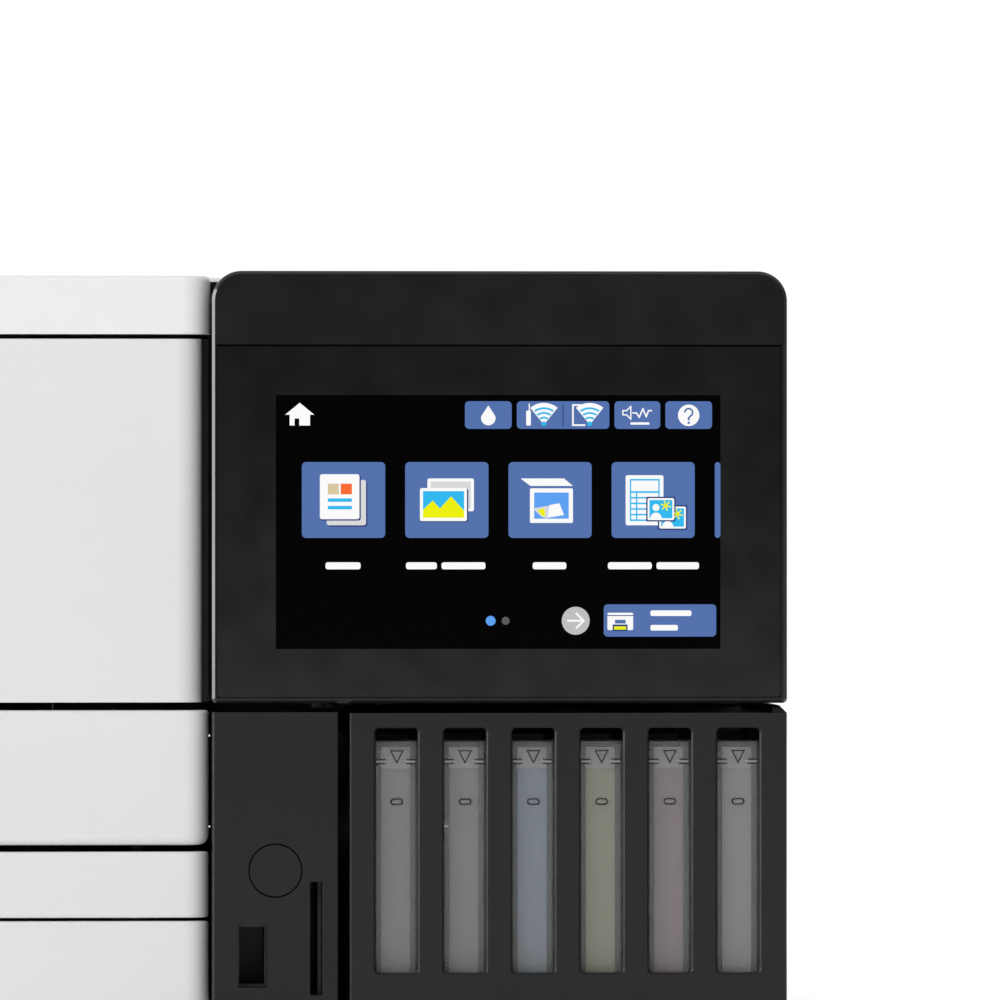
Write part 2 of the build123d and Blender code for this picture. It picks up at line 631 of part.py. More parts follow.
def scanner_glass():
    """Flat glass under the window."""
    x = (WINDOW_X[0] - GLASS_MARGIN, WINDOW_X[1] + GLASS_MARGIN)
    y = (WINDOW_Y[0] - GLASS_MARGIN, WINDOW_Y[1] + GLASS_MARGIN)
    return block(x, y, GLASS)


def scan_guide_rod():
    """Steel rod that the scan carriage runs on."""
    return rod_x((-196, 196), *SCAN_ROD, SCAN_ROD_RADIUS)


def scan_carriage():
    """Carrier of the scan sensor, with its small motor."""
    carrier = block((-191, -170), (-136, 98), (119, 127.6))
    carrier -= block((-192, -169), (-14, 20), (118, 124))
    carrier += block((-191, -164), (-27, -13), (118.4, 127.6))
    carrier += block((-170.5, -158), (40, 66), (119, 132))
    carrier += rod_z(-164, 53, (132, 138), 8)
    return carrier - rod_x((-192, -150), *SCAN_ROD, SCAN_ROD_RADIUS + RUNNING)


def cis_sensor():
    """Contact image sensor bar under the glass."""
    bar = block((-190, -176), (-134, 96), (127.6, 141.4))
    return bar - block((-184.5, -181.5), (-130, 92), (139.4, 142))


# ---- Document cover ------------------------------------------------------------------------

def document_cover():
    """White lid over the glass, notched for the touch panel."""
    y_back = 112.0
    notch_y = -148.7
    right = RIGHT - 2.5
    beside_panel = PANEL_LEFT - 0.2
    points = [
        (LEFT, WHITE_FRONT), (beside_panel, WHITE_FRONT), (beside_panel, notch_y),
        (right, notch_y), (right, y_back), (LEFT, y_back),
    ]
    radii = {points[0]: CORNER, points[1]: 5.5, points[3]: 4.0}
    lid = plan(points, COVER, radii)
    top = [e for e in lid.edges().group_by(Axis.Z)[-1] if e.center().Y < y_back - 1]
    lid = fillet(top, 1.3)
    inner = [
        (LEFT + WALL, WHITE_FRONT + WALL), (beside_panel - WALL, WHITE_FRONT + WALL),
        (beside_panel - WALL, notch_y + WALL), (right - WALL, notch_y + WALL),
        (right - WALL, 102), (LEFT + WALL, 102),
    ]
    radii = {inner[0]: 3.5, inner[1]: 3.0}
    lid -= plan(inner, (COVER[0] - 1, COVER[1] - WALL), radii)
    lid += block((-186, 120), (-131, 93), (COVER[0], COVER[0] + 2))
    lid += block((-30, -26), (-131, 93), (COVER[0], COVER[1] - 1))
    for centre in (-120, 120):
        notch = block((centre - 6, centre + 6), (104, 113), (COVER[0] - 1, COVER[1] + 1))
        lid -= notch - rod_x((centre - 7, centre + 7), *COVER_HINGE, 2)
    return lid


def document_mat():
    """Soft white backing sheet pressed on the glass."""
    x = (WINDOW_X[0] + 1, WINDOW_X[1] - 1)
    y = (WINDOW_Y[0] + 1, WINDOW_Y[1] - 1)
    return rounded_box(x, y, (GLASS[1] + 0.2, COVER[0]), 2, Axis.Z)


# ---- Touch panel ---------------------------------------------------------------------------

def panel_housing():
    """Black panel case with a pocket for the screen and slots for the pivot arms."""
    x = (PANEL_LEFT, RIGHT)
    case = block(x, (FRONT, PANEL_LIP_BACK), PANEL_Z)
    upright = case.edges().filter_by(Axis.Y).group_by(Axis.Z)
    case = fillet(upright[-1], 6.3)
    bottom = case.edges().filter_by(Axis.Y).group_by(Axis.Z)[0]
    case = fillet(bottom, 1.0)
    case = chamfer(case.faces().sort_by(Axis.Y)[0].edges(), PANEL_BEVEL)
    body = rounded_box((81, 198.9), (PANEL_LIP_BACK - 1, PANEL_BACK), (72, 160), 4, Axis.Y)
    case += body
    seam = 0.15
    pocket_x = (PLATE_X[0] - seam, PLATE_X[1] + seam)
    pocket_z = (PLATE_Z[0] - seam, PLATE_Z[1] + 2 * seam)
    case -= rounded_box(pocket_x, (FRONT - 1, FRONT + 1.9), pocket_z, 0.9, Axis.Y)
    case -= block((88, 191.5), (FRONT + 1, PANEL_BACK - 2), (77, 140))
    for centre in (102, 178):
        slot = block((centre - 6, centre + 6), (-169, PANEL_BACK + 1), (PANEL_HINGE[1] - 5, PANEL_Z[1] + 1))
        case -= slot - rod_x((centre - 7, centre + 7), *PANEL_HINGE, 2)
    return case


def touch_plate():
    """Thin smooth front plate over the screen."""
    return rounded_box(PLATE_X, (FRONT + 0.05, FRONT + 1.8), PLATE_Z, 0.8, Axis.Y)


def lcd_module():
    """Colour screen with its circuit board."""
    rim_x = (SCREEN_X[0] - 3, SCREEN_X[1] + 3)
    rim_z = (SCREEN_Z[0] - 3, SCREEN_Z[1] + 3)
    screen = block(rim_x, (FRONT + 2, FRONT + 6), rim_z)
    board = block((90, 189.5), (FRONT + 6, FRONT + 7.6), (80, 137))
    return screen + board + block((120, 140), (FRONT + 7.6, FRONT + 10), (96, 112))


# ---- Trays and cassettes -------------------------------------------------------------------

def output_tray():
    """Sliding output tray with rounded guide ribs and the pivots of the front flap."""
    plate = block((BAY[0] + 0.5, BAY[1] - 0.5), (-164.6, -10), TRAY)
    for x in range(-160, 50, 24):
        rib = block((x, x + 2), (-160, -14), (TRAY[1] - 0.5, TRAY[1] + 2))
        plate += rib
    for x in ((-183, -179), (55, 59)):
        plate += rod_x(x, *FLAP_HINGE, 1.8) + block(x, (FLAP_HINGE[0] + 0.4, -160), (FLAP_HINGE[1], TRAY[1]))
        inward = (x[1] - 0.5, x[1] + 4) if x[0] < 0 else (x[0] - 4, x[0] + 0.5)
        plate += rod_x(inward, *FLAP_HINGE, 0.9)
    return plate


def white_plate(z):
    """White front plate whose right end curves back beside the black front."""
    inside = (WHITE_RIGHT - WALL, WHITE_FRONT + WALL)
    points = [
        (WHITE_LEFT, WHITE_FRONT), (WHITE_RIGHT, WHITE_FRONT), (WHITE_RIGHT, WHITE_FRONT + END_DEPTH),
        (inside[0], WHITE_FRONT + END_DEPTH), inside, (WHITE_LEFT, inside[1]),
    ]
    return plan(points, z, {points[0]: 1.0, points[1]: END_DEPTH - 0.2, inside: 2.2})


def front_flap():
    """White door in front of the output tray."""
    face = white_plate(FLAP)
    for group, radius in ((0, 2.2), (-1, 0.8)):
        edge = face.edges().filter_by(Axis.X).group_by(Axis.Z)[group].sort_by(Axis.Y)[0]
        face = fillet(edge, radius)
    for x in ((-178.6, -174.6), (50.6, 54.6)):
        knuckle = rod_x(x, *FLAP_HINGE, 1.8)
        reach = (WHITE_FRONT + WALL - 0.5, FLAP_HINGE[0])
        knuckle += block(x, reach, (FLAP_HINGE[1] - 1.8, FLAP_HINGE[1] + 1.8))
        face += knuckle - rod_x((x[0] - 1, x[1] + 1), *FLAP_HINGE, 0.95)
    for x in ((-103.4, -100.4), (-23.6, -20.6)):
        reach = (WHITE_FRONT + WALL - 0.5, STOPPER_HINGE[0])
        ear = block(x, reach, (STOPPER_HINGE[1] - 1.5, STOPPER_HINGE[1] + 1.5))
        face += ear + rod_x(x, *STOPPER_HINGE, 1.5)
    face += rod_x((-101, -96), *STOPPER_HINGE, 0.8)
    face += rod_x((-28, -23), *STOPPER_HINGE, 0.8)
    return face


def paper_stopper():
    """Small flap that stands up on the open door to stop the printed sheets."""
    y, z = STOPPER_HINGE
    plate = block((-100, -24), (y - 1.1, y + 0.9), (z - 16, z))
    plate += rod_x((-100, -24), y, z, 1.5)
    return plate - rod_x((-101, -95.5), y, z, 0.85) - rod_x((-28.5, -23), y, z, 0.85)


def cassette_front(z):
    """White front plate of a cassette, with a finger recess along its lower edge."""
    plate = white_plate(z)
    edges = [e for e in plate.edges().filter_by(Axis.X) if e.center().Y < WHITE_FRONT + 0.5]
    return fillet(edges, 0.8)


def paper_cassette():
    """Lower cassette for full-size sheets."""
    body = tray(CASSETTE, (WHITE_FRONT + 1, CASSETTE_BACK), PAPER_BODY, 2, 2)
    body += cassette_front(PAPER_FRONT)
    body -= rounded_box((-90, -34), (WHITE_FRONT - 1, WHITE_FRONT + 2), (3, 9), 2, Axis.Y)
    return body


def photo_cassette():
    """Upper cassette for photo paper."""
    body = tray(CASSETTE, (WHITE_FRONT + 1, PHOTO_BACK), PHOTO_BODY, 2, 2)
    left = SHEET_CENTRE - PHOTO_WIDTH / 2
    body += block((left - 3, left), (-165, PHOTO_BACK - 1), (PHOTO_BODY[0] + 1.5, 34))
    body += cassette_front(PHOTO_FRONT)
    body -= rounded_box((-90, -34), (WHITE_FRONT - 1, WHITE_FRONT + 2), (23, 28), 2, Axis.Y)
    return body


def edge_guide(x_face, side, y, z):
    """Upright guide plate with its foot on the outer side of the sheet."""
    plate = block(sorted((x_face, x_face + side * 2)), y, z)
    foot = block(sorted((x_face, x_face + side * 12)), (y[0] + 10, y[1] - 10), (z[0], z[0] + 1.6))
    middle = sum(y) / 2
    grip = block(sorted((x_face + side * 2, x_face + side * 9)), (middle - 8, middle + 8), (z[0], z[1] - 2))
    return plate + foot + grip


def paper_guide_left():
    return edge_guide(SHEET_LEFT, -1, (-110, 60), (8.5, 21))


def paper_guide_right():
    return edge_guide(SHEET_RIGHT, 1, (-110, 60), (8.5, 21))


def paper_end_guide():
    """Guide at the back end of the paper stack."""
    guide = block((-92, -32), (137, 139), (8.5, 20))
    return guide + block((-80, -44), (139, 142.6), (8.5, 12))


def photo_edge_guide():
    return edge_guide(SHEET_CENTRE + PHOTO_WIDTH / 2, 1, (-120, -20), (26.4, 35))


# ---- Rear feed -----------------------------------------------------------------------------

def rear_feed_cover():
    """Lid over the rear feed slot."""
    x = (SLOT_X[0] + 0.4, SLOT_X[1] - 0.4)
    y, z = FEED_COVER_HINGE
    lid = block(x, (y, SLOT_Y[1] - 0.5), (z - 0.3, REAR_TOP))
    lid += rod_x(x, y, z, 1.9)
    return lid - rod_x((x[0] - 1, x[0] + 3.2), y, z, 0.95) - rod_x((x[1] - 3.2, x[1] + 1), y, z, 0.95)


def paper_support():
    """Rear paper rest that slides up out of the back."""
    return on_hopper(SUPPORT_X, (10, 90), (HOPPER_THICK + 0.4, 5.2))


def rear_guide(x_face, side):
    """Edge guide standing on the leaning hopper plate."""
    outer = sorted((x_face, x_face + side * 2))
    foot = sorted((x_face, x_face + side * 10))
    plate = on_hopper(outer, (30, 84), (-9, -0.4))
    return plate + on_hopper(foot, (40, 74), (-2, -0.4))


def rear_guide_left():
    return rear_guide(SHEET_LEFT, -1)


def rear_guide_right():
    return rear_guide(SHEET_RIGHT, 1)


# ---- Ink lid and caps ----------------------------------------------------------------------

def ink_tank_cover():
    """Black lid over the filler caps."""
    x = (TANK_LEFT + 2.4, RIGHT - WALL - 0.9)
    y, z = TANK_COVER_HINGE
    lid = block(x, (-169.4, y), (64.8, 67.4))
    lid += rod_x(x, y, z, 2.3)
    lid -= rod_x((x[0] - 1, x[0] + 2.6), y, z, 1.2 + RUNNING)
    return lid - rod_x((x[1] - 2.6, x[1] + 1), y, z, 1.2 + RUNNING)


def tank_caps():
    """One filler cap for each tank."""
    caps = []
    y, z = CAP_HINGE
    for index in range(TANK_COUNT):
        centre = TANK_FIRST + index * TANK_PITCH
        inner = TANK_WIDTH / 2 - 2.4
        cap = block((centre - inner, centre + inner), (-135.5, y), (59.6, 62.4))
        cap += rod_x((centre - inner, centre + inner), y, z, 1.8)
        cap += rod_z(centre, -129, (58.4, 60), 2.8)
        caps.append(cap - rod_x((centre - 8, centre + 8), y, z, 0.85))
    return Compound(children=caps)


def power_button():
    """Round button on a guided stem."""
    cap = rod_y(BUTTON[0], (FRONT + 0.2, -168.5), BUTTON[1], BUTTON_RADIUS)
    return cap + rod_y(BUTTON[0], (-169, -156), BUTTON[1], 2.5)


# ---- Moving print parts --------------------------------------------------------------------

def print_carriage():
    """Carriage block on the guide shaft, with the belt clamp and the tube joint on top."""
    carriage = rounded_box(CARRIAGE_X, (6, 76), (78, CARRIAGE_TOP), 2, Axis.Z)
    carriage += block((99, 137), (10, 52), (72, 79))
    carriage += block((114, 130), (75, 83.2), (94, 97.4))
    carriage += block((114, 130), (75, 83.2), (99.6, 101.8))
    carriage += block(TUBE_JOINT, (30, 52), (CARRIAGE_TOP - 1, 112.6))
    return carriage - rod_x((90, 150), SHAFT_Y, SHAFT_Z, SHAFT_RADIUS + RUNNING)


def print_head():
    """Print head under the carriage."""
    return block((104, 128), (13, 49), (66.5, 72)) + block((107, 125), (16, 46), (65.6, 66.5))


def pulley(x, shaft):
    """Toothed belt pulley on its shaft along Y."""
    wheel = rod_y(x, (BELT_Y[0] - 0.2, BELT_Y[1] + 0.2), PULLEY_Z, PULLEY_RADIUS - 0.05)
    wheel += rod_y(x, (BELT_Y[0] - 1.2, BELT_Y[0] - 0.2), PULLEY_Z, PULLEY_RADIUS + 1.4)
    return wheel + rod_y(x, shaft, PULLEY_Z, 2)


def motor_pulley():
    return pulley(MOTOR_PULLEY_X, (77, 99))


def idler_pulley():
    return pulley(IDLER_PULLEY_X, (77, 88))


def roller(y, phase):
    """Steel axle with rubber tyres and a gear at its left end."""
    axle = rod_x((GEAR_X[0], 66), y, AXLE_Z, 4)
    for x in range(-166, 40, 37):
        axle += rod_x((x, x + 26), y, AXLE_Z, ROLLER_RADIUS)
    return axle + gear(ROLLER_TEETH, GEAR_MODULE, GEAR_X, y, AXLE_Z, phase, 3.9)


def feed_roller():
    return roller(FEED_Y, 0.0)


def exit_roller():
    return roller(EXIT_Y, 180 / ROLLER_TEETH)


def idler_gear():
    """Gear between the feed and exit rollers, on a short stub axle."""
    half_tooth = 180 / IDLER_TEETH
    wheel = gear(IDLER_TEETH, GEAR_MODULE, GEAR_X, IDLER_Y, AXLE_Z, half_tooth, 2.9)
    return wheel + rod_x((GEAR_X[0], -182), IDLER_Y, AXLE_Z, 3)


def feed_pinion():
    """Small gear on the feed motor's shaft."""
    half_tooth = 180 / PINION_TEETH
    wheel = gear(PINION_TEETH, GEAR_MODULE, GEAR_X, PINION_Y, AXLE_Z, half_tooth, 1.4)
    return wheel + rod_x((GEAR_X[0], -165), PINION_Y, AXLE_Z, 1.5)


def pinch_rollers():
    """Plain rollers on one thin axle, pressed on the feed roller."""
    axle = rod_x((-170, 50), FEED_Y, PINCH_Z, 1.5)
    for x in range(-166, 40, 37):
        axle += rod_x((x, x + 26), FEED_Y, PINCH_Z, PINCH_RADIUS)
    return axle


# ---- Rear service parts --------------------------------------------------------------------

def maintenance_box():
    """Waste-ink box that pulls out of the back."""
    box = rounded_box((72.6, 149.4), (80, BACK - 0.3), (7, 34), 1.5, Axis.Y)
    return box - rounded_box((100, 122), (BACK - 4, BACK + 1), (14, 28), 2, Axis.Y)


def rear_cover():
    """Removable paper-turn cover at the back."""
    cover = rounded_box((-170, 50), (150, BACK - 0.3), (20, 75), 1.5, Axis.Y)
    cover -= block((-166, 46), (149, BACK - 3), (24, 71))
    for x in range(-150, 40, 30):
        cover += block((x, x + 2), (150, BACK - 2), (22, 73))
    cover -= rounded_box((-76, -44), (BACK - 2, BACK + 1), (40, 56), 3, Axis.Y)
    return cover


MAKERS = [
    base_frame, rubber_feet, left_side_cover, right_side_cover, rear_housing, front_bezel,
    card_reader, tank_front_cover, ink_tanks, carriage_frame, guide_shaft, carriage_belt,
    carriage_motor, encoder_strip, platen, feed_motor, pinch_roller_holder, capping_station,
    main_board, power_supply, ink_tubes,
    scanner_housing, panel_mount, scanner_base, scanner_glass, scan_guide_rod, scan_carriage,
    cis_sensor, document_cover, document_mat,
    panel_housing, touch_plate, lcd_module,
    output_tray, front_flap, paper_stopper, paper_cassette, photo_cassette, paper_guide_left,
    paper_guide_right, paper_end_guide, photo_edge_guide,
    rear_feed_cover, paper_support, rear_guide_left, rear_guide_right,
    ink_tank_cover, tank_caps, power_button,
    print_carriage, print_head, motor_pulley, idler_pulley, feed_roller, exit_roller,
    idler_gear, feed_pinion, pinch_rollers,
    maintenance_box, rear_cover,
]


def main():
    os.makedirs("parts", exist_ok=True)
    for maker in MAKERS:
        export_step(maker(), f"parts/{maker.__name__}.step")


if __name__ == "__main__":
    main()
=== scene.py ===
"""Looks of the ink-tank printer: camera, light, floor, materials and fine pieces on the CAD bodies."""
import json
import math

import bmesh
import bpy
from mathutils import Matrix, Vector


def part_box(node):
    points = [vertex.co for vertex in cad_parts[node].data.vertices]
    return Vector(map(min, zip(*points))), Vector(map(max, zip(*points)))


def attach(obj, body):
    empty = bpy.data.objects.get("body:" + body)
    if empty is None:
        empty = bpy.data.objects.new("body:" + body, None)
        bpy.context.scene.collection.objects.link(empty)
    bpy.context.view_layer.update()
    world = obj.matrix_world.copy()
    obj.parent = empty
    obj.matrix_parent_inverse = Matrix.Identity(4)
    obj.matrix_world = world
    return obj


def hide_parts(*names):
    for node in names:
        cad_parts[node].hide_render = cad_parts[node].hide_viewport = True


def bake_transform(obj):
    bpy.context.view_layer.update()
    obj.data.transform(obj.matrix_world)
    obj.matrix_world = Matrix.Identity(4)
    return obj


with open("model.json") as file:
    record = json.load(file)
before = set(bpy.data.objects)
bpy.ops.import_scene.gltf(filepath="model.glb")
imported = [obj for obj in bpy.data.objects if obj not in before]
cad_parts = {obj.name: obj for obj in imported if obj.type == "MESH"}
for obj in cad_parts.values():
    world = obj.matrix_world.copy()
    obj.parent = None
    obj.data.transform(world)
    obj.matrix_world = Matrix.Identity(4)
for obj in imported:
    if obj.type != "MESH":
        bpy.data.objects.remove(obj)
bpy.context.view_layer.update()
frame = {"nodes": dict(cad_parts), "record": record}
NODES = frame["nodes"]
MM = 0.001

# Places read from the frame, in metres
FACE_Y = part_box("panel_housing")[0].y
PLATE_LOW, PLATE_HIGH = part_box("touch_plate")
TANK_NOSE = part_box("ink_tanks")[0].y


# ---- Camera, light and floor ---------------------------------------------------------------

def add_camera():
    """Long lens in front of the printer's middle, turned to its upper right part."""
    distance = 2.6
    view_width = 0.2136
    view_height = 0.1131
    target = Vector((0.140, FACE_Y, view_height))
    camera = bpy.data.cameras.new("camera")
    camera.sensor_width = 36.0
    camera.clip_end = 50.0
    eye = Vector((0.0, FACE_Y - distance, view_height))
    camera.lens = camera.sensor_width * (target - eye).length / view_width
    holder = bpy.data.objects.new("camera", camera)
    holder.location = eye
    holder.rotation_euler = (target - eye).to_track_quat("-Z", "Y").to_euler()
    bpy.context.scene.collection.objects.link(holder)
    bpy.context.scene.camera = holder


def add_area(name, place, target, size, power):
    """Soft box that faces a point."""
    lamp = bpy.data.lights.new(name, "AREA")
    lamp.shape = "RECTANGLE"
    lamp.size, lamp.size_y = size
    lamp.energy = power
    holder = bpy.data.objects.new(name, lamp)
    holder.location = place
    holder.rotation_euler = (Vector(target) - Vector(place)).to_track_quat("-Z", "Y").to_euler()
    bpy.context.scene.collection.objects.link(holder)


def ramp(tree, value, start, end, low, high):
    """Eased change from low to high while value goes from start to end."""
    mapper = tree.nodes.new("ShaderNodeMapRange")
    mapper.interpolation_type = "SMOOTHSTEP"
    mapper.inputs["From Min"].default_value = start
    mapper.inputs["From Max"].default_value = end
    mapper.inputs["To Min"].default_value = low
    mapper.inputs["To Max"].default_value = high
    tree.links.new(value, mapper.inputs["Value"])
    return mapper.outputs["Result"]


def calculate(tree, operation, first, second):
    """Result of one maths operation on two node outputs."""
    node = tree.nodes.new("ShaderNodeMath")
    node.operation = operation
    tree.links.new(first, node.inputs[0])
    tree.links.new(second, node.inputs[1])
    return node.outputs["Value"]


def add_light():
    """White studio that is darker in front and to the right, with soft boxes at the left and above.

    The backdrop itself stays white."""
    world = bpy.data.worlds.new("studio")
    world.use_nodes = True
    tree = world.node_tree
    background = tree.nodes["Background"]
    background.inputs["Color"].default_value = (1.0, 1.0, 1.0, 1.0)
    way = tree.nodes.new("ShaderNodeTexCoord").outputs["Generated"]
    parts = tree.nodes.new("ShaderNodeSeparateXYZ")
    tree.links.new(way, parts.inputs["Vector"])
    front = ramp(tree, parts.outputs["Y"], -0.92, -0.55, 0.10, 1.0)
    right = ramp(tree, parts.outputs["X"], 0.35, 1.0, 1.0, 0.35)
    above = ramp(tree, parts.outputs["Z"], 0.5, 1.0, 1.0, 0.75)
    glow = calculate(tree, "MULTIPLY", calculate(tree, "MULTIPLY", front, right), above)
    seen = tree.nodes.new("ShaderNodeLightPath").outputs["Is Camera Ray"]
    tree.links.new(calculate(tree, "MAXIMUM", glow, seen), background.inputs["Strength"])
    bpy.context.scene.world = world
    add_area("left_box", (-1.5, -0.32, 0.35), (0.08, -0.17, 0.1), (0.55, 1.0), 14.0)
    add_area("top_box", (-0.5, -1.15, 1.45), (0.05, -0.17, 0.08), (1.4, 0.8), 13.5)


def add_floor():
    """Pale round floor, just below the rubber feet."""
    drop = 0.2 * MM
    bpy.ops.mesh.primitive_circle_add(vertices=96, radius=3.0, fill_type="NGON", location=(0, 0, -drop))
    floor = bpy.context.object
    floor.name = "floor"
    mat = bpy.data.materials.new("floor")
    mat.use_nodes = True
    shader = mat.node_tree.nodes["Principled BSDF"]
    shader.inputs["Base Color"].default_value = (0.95, 0.95, 0.95, 1)
    shader.inputs["Roughness"].default_value = 0.8
    shader.inputs["Specular IOR Level"].default_value = 0.1
    shader.inputs["Emission Color"].default_value = (1, 1, 1, 1)
    shader.inputs["Emission Strength"].default_value = 0.4
    floor.data.materials.append(mat)


# ---- Materials -----------------------------------------------------------------------------

GLOW_DRIFT = 0.015


def linear(level):
    """Linear value of a screen level from 0 to 255, by the sRGB curve."""
    share = level / 255
    return share / 12.92 if share <= 0.04045 else ((share + 0.055) / 1.055) ** 2.4


def screen_colour(red, green, blue):
    """Linear colour of three screen levels."""
    return (linear(red), linear(green), linear(blue))


class Surface:
    """One Principled material, with helpers for the noise that drives its colour, gloss and bump."""

    def __init__(self, name, colour, roughness, metallic=0.0, specular=0.5):
        self.material = bpy.data.materials.new(name)
        self.material.use_nodes = True
        self.tree = self.material.node_tree
        self.shader = self.tree.nodes["Principled BSDF"]
        self.colour = colour
        self.roughness = roughness
        self.shader.inputs["Base Color"].default_value = (*colour, 1)
        self.shader.inputs["Roughness"].default_value = roughness
        self.shader.inputs["Metallic"].default_value = metallic
        self.shader.inputs["Specular IOR Level"].default_value = specular
        self.place = self.tree.nodes.new("ShaderNodeTexCoord").outputs["Object"]
        self.height = None

    def noise(self, grain_mm, detail=2.0, stretch=(1, 1, 1)):
        """Noise whose grains are about grain_mm across, drawn out along an axis by stretch."""
        scale = self.tree.nodes.new("ShaderNodeMapping")
        scale.inputs["Scale"].default_value = [1 / s for s in stretch]
        self.tree.links.new(self.place, scale.inputs["Vector"])
        noise = self.tree.nodes.new("ShaderNodeTexNoise")
        noise.inputs["Scale"].default_value = 1 / (grain_mm * MM)
        noise.inputs["Detail"].default_value = detail
        self.tree.links.new(scale.outputs["Vector"], noise.inputs["Vector"])
        return noise.outputs["Fac"]

    def spread(self, value, low, high):
        """Maps the noise's middle range onto low to high."""
        mapper = self.tree.nodes.new("ShaderNodeMapRange")
        mapper.inputs["From Min"].default_value = 0.3
        mapper.inputs["From Max"].default_value = 0.7
        mapper.inputs["To Min"].default_value = low
        mapper.inputs["To Max"].default_value = high
        self.tree.links.new(value, mapper.inputs["Value"])
        return mapper.outputs["Result"]

    def mottle(self, grain_mm, amount, stretch=(1, 1, 1)):
        """Colour varies a little to both sides."""
        factor = self.spread(self.noise(grain_mm, 3.0, stretch), 1 - amount, 1 + amount)
        scale = self.tree.nodes.new("ShaderNodeVectorMath")
        scale.operation = "SCALE"
        scale.inputs[0].default_value = self.colour
        self.tree.links.new(factor, scale.inputs["Scale"])
        self.tree.links.new(scale.outputs["Vector"], self.shader.inputs["Base Color"])
        return self

    def gloss(self, grain_mm, amount, stretch=(1, 1, 1)):
        """Roughness varies a little to both sides."""
        low, high = self.roughness - amount, self.roughness + amount
        value = self.spread(self.noise(grain_mm, 2.0, stretch), low, high)
        self.tree.links.new(value, self.shader.inputs["Roughness"])
        return self

    def grain(self, grain_mm, depth_mm, strength=1.0, stretch=(1, 1, 1)):
        """Fine relief."""
        bump = self.tree.nodes.new("ShaderNodeBump")
        bump.inputs["Strength"].default_value = strength
        bump.inputs["Distance"].default_value = depth_mm * MM
        self.tree.links.new(self.noise(grain_mm, 3.0, stretch), bump.inputs["Height"])
        if self.height is not None:
            self.tree.links.new(self.height, bump.inputs["Normal"])
        self.height = bump.outputs["Normal"]
        self.tree.links.new(self.height, self.shader.inputs["Normal"])
        return self

    def set(self, **sockets):
        """Plain values on the shader's own sockets."""
        for name, value in sockets.items():
            self.shader.inputs[name.replace("_", " ")].default_value = value
        return self


def moulded(name, colour, roughness=0.42, specular=0.4, grain_mm=0.35, depth_mm=0.012):
    """Spark-eroded moulded plastic: fine grain, faint colour and gloss drift."""
    surface = Surface(name, colour, roughness, specular=specular)
    surface.mottle(38, 0.012).gloss(6, 0.05).grain(grain_mm, depth_mm)
    return surface


def polished_plastic(name, colour, roughness, specular):
    """Nearly smooth plastic with a very faint waviness."""
    surface = Surface(name, colour, roughness, specular=specular)
    return surface.mottle(30, 0.04).gloss(9, 0.03).grain(12, 0.01, 0.3)


def bare_metal(name, colour, roughness, stretch):
    """Metal with rolling or turning marks drawn out along one axis."""
    surface = Surface(name, colour, roughness, metallic=1.0)
    return surface.mottle(9, 0.05).gloss(0.8, 0.07, stretch).grain(0.5, 0.004, 0.6, stretch)


def rubber_surface(name, level, grain_mm):
    """Dull rubber of one grey level."""
    surface = Surface(name, (level, level, level), 0.75, specular=0.3)
    return surface.mottle(4, 0.08).gloss(1.2, 0.06).grain(grain_mm, 0.03)


def clear_film(name, colour, roughness, alpha):
    """Clear or smoked sheet seen through without bending the view."""
    surface = Surface(name, colour, roughness, specular=0.5)
    return surface.gloss(14, 0.02).grain(20, 0.004, 0.2).set(Alpha=alpha)


def lit(name, colour):
    """Part of the lit screen picture, with a trace of unevenness in its glow."""
    surface = Surface(name, (0.0, 0.0, 0.0), 0.35, specular=0.1)
    glow = surface.spread(surface.noise(0.12, 1.0), 1 - GLOW_DRIFT, 1 + GLOW_DRIFT)
    surface.set(Emission_Color=(*colour, 1))
    surface.tree.links.new(glow, surface.shader.inputs["Emission Strength"])
    return surface


